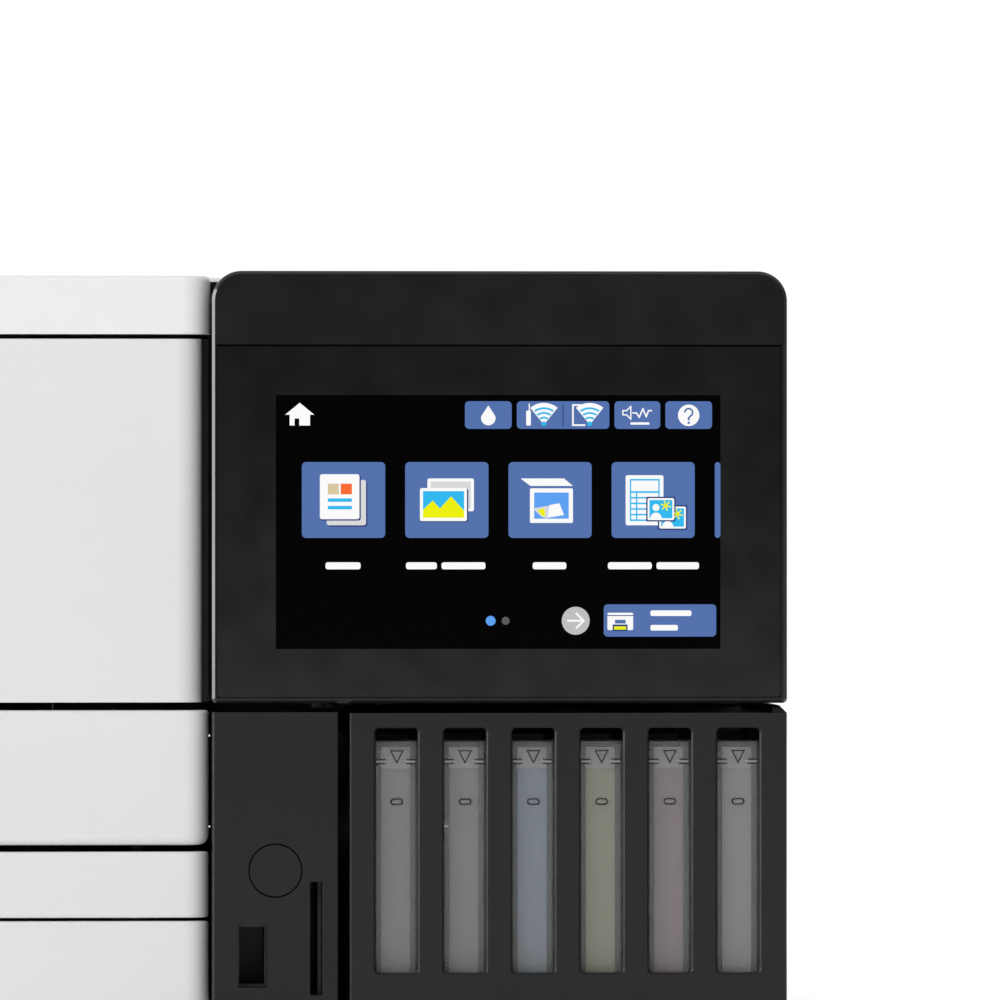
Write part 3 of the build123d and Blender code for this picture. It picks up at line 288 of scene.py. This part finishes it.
def make_materials():
    """All the surfaces, by the record's slot name."""
    white = screen_colour(216, 216, 216)
    front = screen_colour(207, 208, 208)
    return {
        "white_shell": moulded("white_shell", front),
        "white_lid": moulded("white_lid", white),
        "white_front": moulded("white_front", front),
        "black_shell": moulded("black_shell", (0.004, 0.004, 0.0042), 0.32, 0.34, 0.3, 0.004),
        "tank_bezel": moulded("tank_bezel", (0.005, 0.005, 0.0052), 0.32, 0.34, 0.3, 0.004),
        "panel_case": polished_plastic("panel_case", (0.004, 0.004, 0.004), 0.2, 0.38).set(Coat_Weight=0.4),
        "touch_glass": polished_plastic("touch_glass", (0.004, 0.004, 0.004), 0.14, 0.45),
        "frame_plastic": moulded("frame_plastic", (0.035, 0.035, 0.038), 0.5, 0.35, 0.6, 0.02),
        "grey_plastic": moulded("grey_plastic", (0.13, 0.135, 0.14), 0.45, 0.35, 0.5, 0.015),
        "light_plastic": moulded("light_plastic", (0.50, 0.51, 0.52), 0.45, 0.4, 0.5, 0.015),
        "gear_plastic": moulded("gear_plastic", (0.72, 0.69, 0.60), 0.35, 0.45, 1.2, 0.01),
        "steel_sheet": bare_metal("steel_sheet", (0.56, 0.57, 0.58), 0.34, (30, 1, 1)),
        "shaft_steel": bare_metal("shaft_steel", (0.66, 0.66, 0.67), 0.14, (1, 20, 20)),
        "motor_steel": bare_metal("motor_steel", (0.50, 0.51, 0.52), 0.30, (1, 1, 12)),
        "rubber": rubber_surface("rubber", 0.02, 0.5),
        "roller_rubber": rubber_surface("roller_rubber", 0.05, 0.25),
        "flatbed_glass": clear_film("flatbed_glass", (0.60, 0.70, 0.66), 0.03, 0.22),
        "tank_plastic": clear_film("tank_plastic", (0.42, 0.42, 0.425), 0.32, 0.30),
        "strip_film": clear_film("strip_film", (0.35, 0.36, 0.40), 0.1, 0.45),
        "circuit_board": moulded("circuit_board", (0.012, 0.11, 0.045), 0.3, 0.5, 0.8, 0.01),
        "mat_foam": moulded("mat_foam", (0.80, 0.80, 0.80), 0.8, 0.2, 0.9, 0.05),
        "tube_plastic": moulded("tube_plastic", (0.03, 0.03, 0.034), 0.3, 0.5, 1.5, 0.01),
    }


def dress_nodes(surfaces):
    """Gives every CAD node the surface of its slot."""
    for entry in frame["record"]["subparts"]:
        node = NODES[entry["node"]]
        surface = surfaces[entry["material_slot"]]
        node.data.materials.clear()
        node.data.materials.append(surface.material)


# ---- Mesh helpers --------------------------------------------------------------------------

def keep_loose(mesh_builder, name, surface):
    """Turns a bmesh into a piece that no body carries yet."""
    mesh = bpy.data.meshes.new(name)
    bmesh.ops.recalc_face_normals(mesh_builder, faces=mesh_builder.faces)
    mesh_builder.to_mesh(mesh)
    mesh_builder.free()
    mesh.materials.append(surface.material)
    piece = bpy.data.objects.new(name, mesh)
    bpy.context.scene.collection.objects.link(piece)
    return piece


def keep(mesh_builder, name, surface, body):
    """Turns a bmesh into a piece that rides on a body."""
    piece = keep_loose(mesh_builder, name, surface)
    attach(piece, body)
    return piece


def add_prism(builder, outline, near, far):
    """Closed slab in the front plane: outline of (x, z) points, from y near to y far."""
    front = [builder.verts.new((x, near, z)) for x, z in outline]
    rear = [builder.verts.new((x, far, z)) for x, z in outline]
    builder.faces.new(front)
    builder.faces.new(list(reversed(rear)))
    count = len(outline)
    for i in range(count):
        j = (i + 1) % count
        builder.faces.new((front[j], front[i], rear[i], rear[j]))


def round_rect(left, top, right, bottom, radius, steps=5):
    """Outline of a rounded rectangle, top and bottom as heights."""
    radius = min(radius, (right - left) / 2, (top - bottom) / 2)
    points = []
    corners = (
        (right - radius, top - radius, 0), (left + radius, top - radius, 90),
        (left + radius, bottom + radius, 180), (right - radius, bottom + radius, 270),
    )
    for x, z, start in corners:
        for step in range(steps + 1):
            angle = math.radians(start + 90 * step / steps)
            points.append((x + radius * math.cos(angle), z + radius * math.sin(angle)))
    return points


def disc(x, z, radius, steps=28):
    """Outline of a circle."""
    turn = [2 * math.pi * i / steps for i in range(steps)]
    return [(x + radius * math.cos(a), z + radius * math.sin(a)) for a in turn]


def ribbon(points, width):
    """Outlines of straight bars of one width along a run of points."""
    bars = []
    for (x0, z0), (x1, z1) in zip(points, points[1:]):
        along = Vector((x1 - x0, z1 - z0)).normalized() * (width / 2)
        side = Vector((-along.y, along.x))
        a = Vector((x0, z0)) - along
        b = Vector((x1, z1)) + along
        bars.append([tuple(a + side), tuple(b + side), tuple(b - side), tuple(a - side)])
    return bars


def arc_band(x, z, radius, width, start, end, steps=10):
    """Outline of a curved band between two angles."""
    angles = [math.radians(start + (end - start) * i / steps) for i in range(steps + 1)]
    outer = [(x + (radius + width / 2) * math.cos(a), z + (radius + width / 2) * math.sin(a)) for a in angles]
    inner = [(x + (radius - width / 2) * math.cos(a), z + (radius - width / 2) * math.sin(a)) for a in angles]
    return outer + inner[::-1]


# ---- Screen picture ------------------------------------------------------------------------

SCREEN_SIZE = (95.1, 54.2)
SCREEN_LEFT = 92.1 * MM
SCREEN_TOP = 135.5 * MM
LAYER = 0.008 * MM

# Tiles of the picture, in millimetres from its top left corner
TILE_LEFT = 5.55
TILE_PITCH = 22.08
TILE_WIDTH = 17.8
TILE_TOP = 14.3
TILE_BOTTOM = 30.5
TILE_RADIUS = 0.9
FIFTH_TILE_LEFT = 93.9


class Picture:
    """Flat shapes of the screen picture, in millimetres right and down from its top left corner.

    Shapes of one colour on one layer become one thin slab piece."""

    def __init__(self):
        self.groups = {}

    def add(self, colour, layer, outline):
        self.groups.setdefault((colour, layer), []).append(outline)

    def box(self, colour, layer, left, top, right, bottom, radius=0.0):
        if radius:
            shape = round_rect(left, -top, right, -bottom, radius)
            self.add(colour, layer, [(x, -z) for x, z in shape])
        else:
            self.add(colour, layer, [(left, top), (right, top), (right, bottom), (left, bottom)])

    def dot(self, colour, layer, x, y, radius):
        self.add(colour, layer, disc(x, y, radius))

    def line(self, colour, layer, points, width):
        for bar in ribbon(points, width):
            self.add(colour, layer, bar)

    def band(self, colour, layer, x, y, radius, width, start, end):
        self.add(colour, layer, arc_band(x, y, radius, width, start, end))

    def build(self, colours):
        for (colour, layer), outlines in self.groups.items():
            builder = bmesh.new()
            far = PLATE_LOW.y - layer * LAYER
            for outline in outlines:
                points = [(SCREEN_LEFT + x * MM, SCREEN_TOP - y * MM) for x, y in outline]
                add_prism(builder, points, far - LAYER * 0.9, far)
            keep(builder, f"screen_{colour}_{layer}", colours[colour], "control_panel")


def draw_header(picture):
    """Home sign and the row of buttons along the top."""
    roof = [(5.1, 1.65), (8.2, 4.2), (7.3, 4.2)]
    picture.add("white", 1, roof + [(7.3, 6.5), (2.95, 6.5), (2.95, 4.2), (2.0, 4.2)])
    picture.box("black", 2, 4.0, 5.0, 5.0, 6.5)
    for left, right in ((40.4, 50.4), (51.5, 71.3), (72.4, 82.2), (83.3, 93.3)):
        picture.box("blue", 1, left, 1.3, right, 7.2, 0.85)
    drop = arc_band(45.4, 4.9, 0.78, 1.55, -15, 195, 16)[:17]
    picture.add("white", 2, [(45.4, 2.2)] + drop)
    picture.box("deep_blue", 2, 61.3, 1.9, 61.5, 6.7)
    picture.box("white", 2, 53.5, 3.3, 54.5, 6.5, 0.2)
    picture.box("white", 2, 54.05, 1.8, 54.3, 3.4)
    picture.line("white", 2, [(63.5, 2.1), (63.5, 6.4), (66.0, 6.4)], 0.35)
    picture.line("white", 2, [(63.5, 2.1), (65.2, 2.1)], 0.35)
    for x in (57.3, 67.1):
        draw_signal(picture, x, 6.3)
    draw_quiet(picture, 77.3, 4.2)
    picture.dot("white", 2, 88.3, 4.3, 2.3)
    picture.band("blue", 3, 88.3, 3.7, 0.85, 0.38, -180, 60)
    picture.line("blue", 3, [(88.72, 4.4), (88.3, 4.9), (88.3, 5.2)], 0.38)
    picture.dot("blue", 3, 88.3, 5.9, 0.27)


def draw_signal(picture, x, y):
    """Fan of radio waves."""
    fan = arc_band(x, y, 2.35, 4.6, -129, -51, 12)
    picture.add("white", 2, fan)
    for radius in (1.5, 2.5, 3.5):
        picture.band("cyan", 3, x, y, radius, 0.42, -125, -55)
    picture.dot("cyan", 3, x, y - 0.2, 0.5)


def draw_quiet(picture, x, y):
    """Loudspeaker with a wave, for quiet running."""
    back = x - 3.1
    mouth = x - 1.4
    horn = [(back, y - 0.9), (x - 2.3, y - 0.9), (mouth, y - 1.8), (mouth, y + 0.9), (x - 2.3, y), (back, y)]
    picture.line("white", 2, horn + horn[:1], 0.26)
    wave = [(-0.9, -0.4), (-0.2, -0.4), (0.4, 0.5), (1.2, -1.3), (1.9, 0.4), (2.4, -0.9), (3.0, -0.9)]
    picture.line("white", 2, [(x + right, y + down) for right, down in wave], 0.3)
    picture.box("white", 2, x - 1.5, y + 1.6, x + 2.6, y + 2.1, 0.2)


def draw_tiles(picture):
    """Four tiles and the edge of a fifth, each with its sign and a bar in place of words."""
    signs = (draw_copy, draw_photos, draw_scan, draw_forms)
    lefts = [TILE_LEFT + TILE_PITCH * index for index in range(len(signs))]
    for left in lefts:
        picture.box("blue", 1, left, TILE_TOP, left + TILE_WIDTH, TILE_BOTTOM, TILE_RADIUS)
    picture.box("blue", 1, FIFTH_TILE_LEFT, TILE_TOP, SCREEN_SIZE[0], TILE_BOTTOM, TILE_RADIUS)
    for draw_sign, left in zip(signs, lefts):
        draw_sign(picture, left, TILE_TOP)
    words = (((10.6, 18.1),), ((27.8, 34.4), (35.4, 44.8)), ((54.9, 62.1),), ((71.0, 80.4), (81.4, 90.5)))
    for bars in words:
        for left, right in bars:
            picture.box("white", 1, left, 35.7, right, 37.2, 0.5)


def draw_copy(picture, x, y):
    """Two sheets, one on the other."""
    picture.box("deep_blue", 2, x + 5.6, y + 4.1, x + 14.0, y + 13.8, 0.5)
    picture.box("pale", 3, x + 5.3, y + 3.8, x + 13.7, y + 13.5, 0.5)
    picture.box("deep_blue", 4, x + 4.0, y + 2.8, x + 12.6, y + 12.5, 0.5)
    picture.box("white", 5, x + 3.85, y + 2.6, x + 12.3, y + 12.2, 0.5)
    picture.box("tan", 6, x + 5.55, y + 4.6, x + 7.9, y + 6.9)
    picture.box("orange", 6, x + 8.3, y + 4.6, x + 10.7, y + 6.9)
    picture.box("cyan", 6, x + 5.55, y + 7.75, x + 10.7, y + 8.5)
    picture.box("cyan", 6, x + 5.55, y + 9.35, x + 10.7, y + 10.1)


def draw_photos(picture, x, y):
    """Two landscape prints."""
    picture.box("white", 2, x + 4.75, y + 3.5, x + 14.7, y + 10.5, 0.4)
    picture.box("pale", 3, x + 5.4, y + 4.15, x + 14.05, y + 9.9)
    picture.box("deep_blue", 4, x + 3.2, y + 5.7, x + 13.5, y + 12.8, 0.4)
    picture.box("white", 5, x + 3.15, y + 5.55, x + 13.2, y + 12.6, 0.4)
    picture.box("cyan", 6, x + 3.8, y + 6.2, x + 12.6, y + 11.9)
    picture.add("yellow", 7, [(x + 3.8, y + 10.2), (x + 5.9, y + 8.2), (x + 7.4, y + 9.9), (x + 9.8, y + 7.3),
                              (x + 12.6, y + 10.4), (x + 12.6, y + 11.9), (x + 3.8, y + 11.9)])


def draw_scan(picture, x, y):
    """Flatbed with its lid up and a sheet on it."""
    lid = ((2.6, 3.5), (11.9, 3.5), (13.8, 5.1), (4.7, 5.1))
    picture.add("white", 2, [(x + right, y + down) for right, down in lid])
    picture.box("white", 2, x + 4.6, y + 5.6, x + 13.8, y + 13.0, 0.3)
    picture.box("sky", 3, x + 5.5, y + 6.5, x + 12.9, y + 12.1)
    sheets = (
        ("pale", 4, ((5.2, 9.9), (8.6, 9.3), (8.2, 12.1), (7.0, 11.6))),
        ("yellow", 5, ((6.2, 10.2), (7.7, 9.9), (7.9, 11.6), (7.2, 11.5))),
        ("white", 5, ((8.7, 9.2), (10.9, 8.8), (11.9, 11.3), (8.3, 11.9))),
    )
    for colour, layer, outline in sheets:
        picture.add(colour, layer, [(x + right, y + down) for right, down in outline])


def draw_forms(picture, x, y):
    """Form with a table, and two small prints."""
    picture.box("white", 2, x + 3.0, y + 2.8, x + 11.1, y + 13.5, 0.4)
    picture.box("cyan", 3, x + 3.9, y + 3.6, x + 10.3, y + 12.6)
    picture.box("white", 4, x + 4.2, y + 3.95, x + 10.0, y + 6.2)
    for row in range(5):
        top = y + 6.6 + row * 1.2
        picture.box("white", 4, x + 4.2, top, x + 5.2, top + 0.85)
        picture.box("white", 4, x + 5.5, top, x + 10.0, top + 0.85)
    draw_print(picture, 5, x + 10.2, y + 9.5)
    draw_print(picture, 8, x + 7.7, y + 7.7)


def draw_print(picture, layer, left, top):
    """Small print of a person and a star, on four layers."""
    picture.box("deep_blue", layer, left - 0.3, top - 0.3, left + 6.0, top + 5.0, 0.3)
    picture.box("white", layer + 1, left, top, left + 5.7, top + 4.7, 0.3)
    picture.box("cyan", layer + 2, left + 0.4, top + 0.4, left + 5.3, top + 4.3)
    picture.dot("white", layer + 3, left + 1.8, top + 2.0, 0.75)
    picture.add("white", layer + 3, arc_band(left + 1.8, top + 4.3, 0.6, 1.2, -180, 0, 10)[:11])
    star_x, star_y = left + 3.9, top + 1.6
    for turn in range(3):
        angle = math.radians(60 * turn + 15)
        across, down = math.cos(angle), math.sin(angle)
        ends = [(star_x - across, star_y - down), (star_x + across, star_y + down)]
        picture.line("yellow", layer + 3, ends, 0.3)


def draw_footer(picture):
    """Page dots, the arrow button and the tray button."""
    middle = 48.2
    picture.dot("sky", 1, 45.9, middle, 1.05)
    picture.dot("dim", 1, 49.1, middle, 0.85)
    picture.dot("mid", 1, 64.1, middle, 3.0)
    picture.line("white", 2, [(62.5, middle), (65.6, middle)], 0.42)
    picture.line("white", 2, [(64.3, 46.7), (65.8, middle), (64.3, 49.7)], 0.42)
    picture.box("blue", 1, 70.1, 44.7, 94.2, 51.6, 0.85)
    picture.box("white", 2, 70.9, 46.5, 76.4, 50.2, 0.3)
    picture.box("deep_blue", 3, 70.9, 47.0, 76.4, 47.2)
    picture.box("blue", 3, 72.5, 48.0, 74.8, 48.8)
    picture.box("deep_blue", 3, 72.0, 49.0, 75.2, 50.4)
    picture.box("yellow", 4, 72.3, 49.4, 74.9, 50.1)
    picture.box("white", 2, 80.1, 46.0, 88.9, 47.2, 0.4)
    picture.box("white", 2, 80.1, 49.1, 86.0, 50.3, 0.4)


def build_screen():
    """Lit picture, as thin slabs on the touch plate's face."""
    colours = {
        "black": Surface("screen_black", (0.0, 0.0, 0.0), 0.3, specular=0.03),
        "white": lit("screen_white", screen_colour(250, 250, 250)),
        "pale": lit("screen_pale", screen_colour(217, 217, 220)),
        "mid": lit("screen_mid", screen_colour(190, 190, 190)),
        "dim": lit("screen_dim", screen_colour(88, 88, 88)),
        "blue": lit("screen_blue", screen_colour(82, 112, 172)),
        "deep_blue": lit("screen_deep_blue", screen_colour(38, 60, 118)),
        "cyan": lit("screen_cyan", screen_colour(46, 184, 238)),
        "sky": lit("screen_sky", screen_colour(92, 160, 240)),
        "tan": lit("screen_tan", screen_colour(216, 200, 160)),
        "orange": lit("screen_orange", screen_colour(250, 106, 46)),
        "yellow": lit("screen_yellow", screen_colour(236, 240, 0)),
    }
    picture = Picture()
    picture.box("black", 0, 0, 0, *SCREEN_SIZE)
    draw_header(picture)
    draw_tiles(picture)
    draw_footer(picture)
    picture.build(colours)


# ---- Painted shade in the seam round the touch plate ---------------------------------------

SEAM_TOP = 0.4 * MM
SEAM_SIDE = 0.16 * MM
SEAM_OVERLAP = 0.1 * MM


def build_seam_shade():
    """Painted shade: a near-black strip along the seam between the touch plate and the panel's case, widest
    along the top.
    """
    # Near-black and without gloss: painted shade where the seam between the parts lies in shadow.
    seam_shade = Surface("panel_seam_shade", (0.001, 0.001, 0.001), 0.9, specular=0.0).mottle(3, 0.1).grain(0.6, 0.01)
    builder = bmesh.new()
    low, high = PLATE_LOW, PLATE_HIGH
    bars = (
        (low.x - SEAM_SIDE, high.z + SEAM_TOP - SEAM_OVERLAP, high.x + SEAM_SIDE, high.z - SEAM_OVERLAP),
        (low.x - SEAM_SIDE, high.z, low.x, low.z), (high.x, high.z, high.x + SEAM_SIDE, low.z),
        (low.x - SEAM_SIDE, low.z, high.x + SEAM_SIDE, low.z - SEAM_SIDE),
    )
    near, far = FACE_Y - 0.01 * MM, FACE_Y + 0.1 * MM
    for left, top, right, bottom in bars:
        add_prism(builder, round_rect(left, top, right, bottom, 0.02 * MM), near, far)
    keep(builder, "panel_seam_shade", seam_shade, "control_panel")


# ---- Ink and tank marks --------------------------------------------------------------------

TANK_PITCH = 14.63 * MM
TANK_FIRST = 117.9 * MM
INK_LEVEL = 55.6 * MM
INK_BOTTOM = 10.4 * MM
FUNNEL_TOP = 60.1 * MM
INK_HALF_WIDTH = 3.1 * MM
INK_DEPTH = (1.25 * MM, 4.4 * MM)
MARK_WIDTH = 0.24 * MM


def upright_box(centre, top, bottom):
    """Closed box inside a tank, from one height to another."""
    builder = bmesh.new()
    outline = round_rect(centre - INK_HALF_WIDTH, top, centre + INK_HALF_WIDTH, bottom, 0.3 * MM)
    add_prism(builder, outline, TANK_NOSE + INK_DEPTH[0], TANK_NOSE + INK_DEPTH[1])
    return builder


def tank_marks_and_ledge_shade(centre, near, far):
    """Filling triangle, the two lines of the ledge and the level slot of one window; the ledge lines are
    painted shade along the ledge's upper and lower edges.
    """
    builder = bmesh.new()
    middle = centre + 0.2 * MM
    half = 1.3 * MM
    triangle = [(middle - half, 59.45 * MM), (middle + half, 59.45 * MM), (middle, 56.9 * MM)]
    bars = ribbon(triangle + triangle[:1], MARK_WIDTH)
    for side in (-1, 1):
        # The two ledge lines are painted shade along the ledge's upper and lower edges.
        for height in (57.6, 56.75):
            ends = [(centre + side * 4.3 * MM, height * MM), (centre + side * 2.3 * MM, height * MM)]
            bars += ribbon(ends, MARK_WIDTH)
    half = 1.22 * MM
    level_slot = round_rect(middle - half, 49.15 * MM, middle + half, 48.0 * MM, 0.57 * MM)
    bars += ribbon(level_slot + level_slot[:1], MARK_WIDTH)
    for bar in bars:
        add_prism(builder, bar, near, far)
    return builder


def tank_glints(centre, near, far):
    """Painted highlights: bright spots where the ledge would catch the light."""
    builder = bmesh.new()
    add_prism(builder, disc(centre + 2.15 * MM, 57.3 * MM, 0.3 * MM, 14), near - 0.1 * MM, far)
    for side in (-1, 1):
        left = centre + side * 3.2 * MM - 1.0 * MM
        add_prism(builder, round_rect(left, 57.35 * MM, left + 2.0 * MM, 56.95 * MM, 0.15 * MM), near, far)
    return builder


def build_ink():
    """Ink in each tank, the pale funnel above it, the marks moulded on its window with painted shade for the
    ledge lines, and painted highlights on the ledge.
    """
    inks = (
        ("grey", (0.095, 0.095, 0.096)), ("photo_grey", (0.105, 0.105, 0.106)),
        ("cyan", (0.10, 0.21, 0.31)), ("yellow", (0.26, 0.28, 0.06)),
        ("magenta", (0.21, 0.075, 0.12)), ("light_grey", (0.25, 0.25, 0.25)),
    )
    funnel = Surface("tank_funnel", (0.38, 0.40, 0.40), 0.5, specular=0.3).mottle(5, 0.03).grain(2, 0.01)
    # Dark grey for the moulded triangle and slot; on the ledge lines it is painted shade.
    mark_and_ledge_shade = Surface("tank_mark_and_ledge_shade", (0.030, 0.030, 0.030), 0.5, specular=0.2).mottle(3, 0.1).grain(0.6, 0.01)
    # Painted highlight colour for the ledge's glints.
    glint = Surface("tank_glint", (0.30, 0.30, 0.30), 0.4, specular=0.4).mottle(3, 0.05).grain(0.6, 0.01)
    near, far = TANK_NOSE - 0.12 * MM, TANK_NOSE + 0.1 * MM
    for index, (name, colour) in enumerate(inks):
        centre = TANK_FIRST + index * TANK_PITCH
        ink = Surface(f"ink_{name}", colour, 0.12, specular=0.5).mottle(14, 0.06).grain(25, 0.02, 0.2)
        keep(upright_box(centre, INK_LEVEL, INK_BOTTOM), f"ink_fill_{name}", ink, "chassis")
        above = upright_box(centre, FUNNEL_TOP, INK_LEVEL + 0.1 * MM)
        keep(above, f"tank_funnel_{name}", funnel, "chassis")
        keep(tank_marks_and_ledge_shade(centre, near, far), f"tank_marks_and_ledge_shade_{name}", mark_and_ledge_shade, "chassis")
        keep(tank_glints(centre, near, far), f"tank_glint_{name}", glint, "chassis")


# ---- Ink tubes -----------------------------------------------------------------------------

# Each tube runs along X from BEAM_END to the turn, round it, and back to CARRIAGE_END
TUBE_RADIUS = 1.4 * MM
TUBE_PITCH = 2.9 * MM
TUBE_HEIGHT = 110.4 * MM
TURN = (-10.0 * MM, 14.0 * MM)
TURN_RADIUS = 20.0 * MM
BEAM_END = 170.0 * MM
CARRIAGE_END = 123.0 * MM
TUBE_COUNT = 6
# The beam run's blend would end this far past the turn
BEAM_BLEND_REACH = 190.0 * MM
# Metres from the turn at which a blend's limit no longer matters
FAR_OFF = 10.0


def tube_rings(path, sides=10):
    """A round tube along a level path, as rings of corners in a bmesh, open at both ends."""
    builder = bmesh.new()
    rings = []
    for index, (x, y) in enumerate(path):
        before = path[max(index - 1, 0)]
        after = path[min(index + 1, len(path) - 1)]
        along = Vector((after[0] - before[0], after[1] - before[1], 0)).normalized()
        across = Vector((-along.y, along.x, 0))
        ring = []
        for step in range(sides):
            turn = 2 * math.pi * step / sides
            corner = Vector((x, y, TUBE_HEIGHT)) + across * (math.cos(turn) * TUBE_RADIUS)
            corner.z += math.sin(turn) * TUBE_RADIUS
            ring.append(builder.verts.new(corner))
        rings.append(ring)
    for first, second in zip(rings, rings[1:]):
        for step in range(sides):
            after = (step + 1) % sides
            face = builder.faces.new((first[step], first[after], second[after], second[step]))
            face.smooth = True
    return builder


def straight(start, end, y, count=60):
    """Points along a straight run at one depth."""
    return [(start + (end - start) * step / count, y) for step in range(count + 1)]


def half_turn(radius, steps=36):
    """Points round the bend of the ribbon, from the beam side to the carriage side."""
    points = []
    for step in range(steps + 1):
        turn = -math.pi / 2 - math.pi * step / steps
        points.append((TURN[0] + radius * math.cos(turn), TURN[1] + radius * math.sin(turn)))
    return points


def build_tubes(tube_surface):
    """Six ink tubes, built along a fixed bend.

    Each tube is three pieces, and start and end are where a piece's blend would begin and end along X.
    The bend piece's limits lie far off to both sides."""
    for index in range(TUBE_COUNT):
        radius = TURN_RADIUS + TUBE_PITCH * index
        runs = (
            ("beam", straight(BEAM_END - TUBE_PITCH * index, TURN[0], TURN[1] - radius),
             BEAM_END, TURN[0] - BEAM_BLEND_REACH),
            ("bend", half_turn(radius), TURN[0] - FAR_OFF, TURN[0] + FAR_OFF),
            ("reach", straight(TURN[0], CARRIAGE_END, TURN[1] + radius),
             2 * TURN[0] - CARRIAGE_END, CARRIAGE_END),
        )
        for run, path, start, end in runs:
            piece = keep_loose(tube_rings(path), f"ink_tube_{run}_{index}", tube_surface)
            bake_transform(piece)
            if index == 0 and run == "beam":
                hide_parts("ink_tubes")


# ---- Build ---------------------------------------------------------------------------------

def main():
    """Builds the whole scene."""
    bpy.context.scene.view_settings.view_transform = "Standard"
    add_camera()
    add_light()
    add_floor()
    surfaces = make_materials()
    dress_nodes(surfaces)
    build_screen()
    build_seam_shade()
    build_ink()
    build_tubes(surfaces["tube_plastic"])


main()
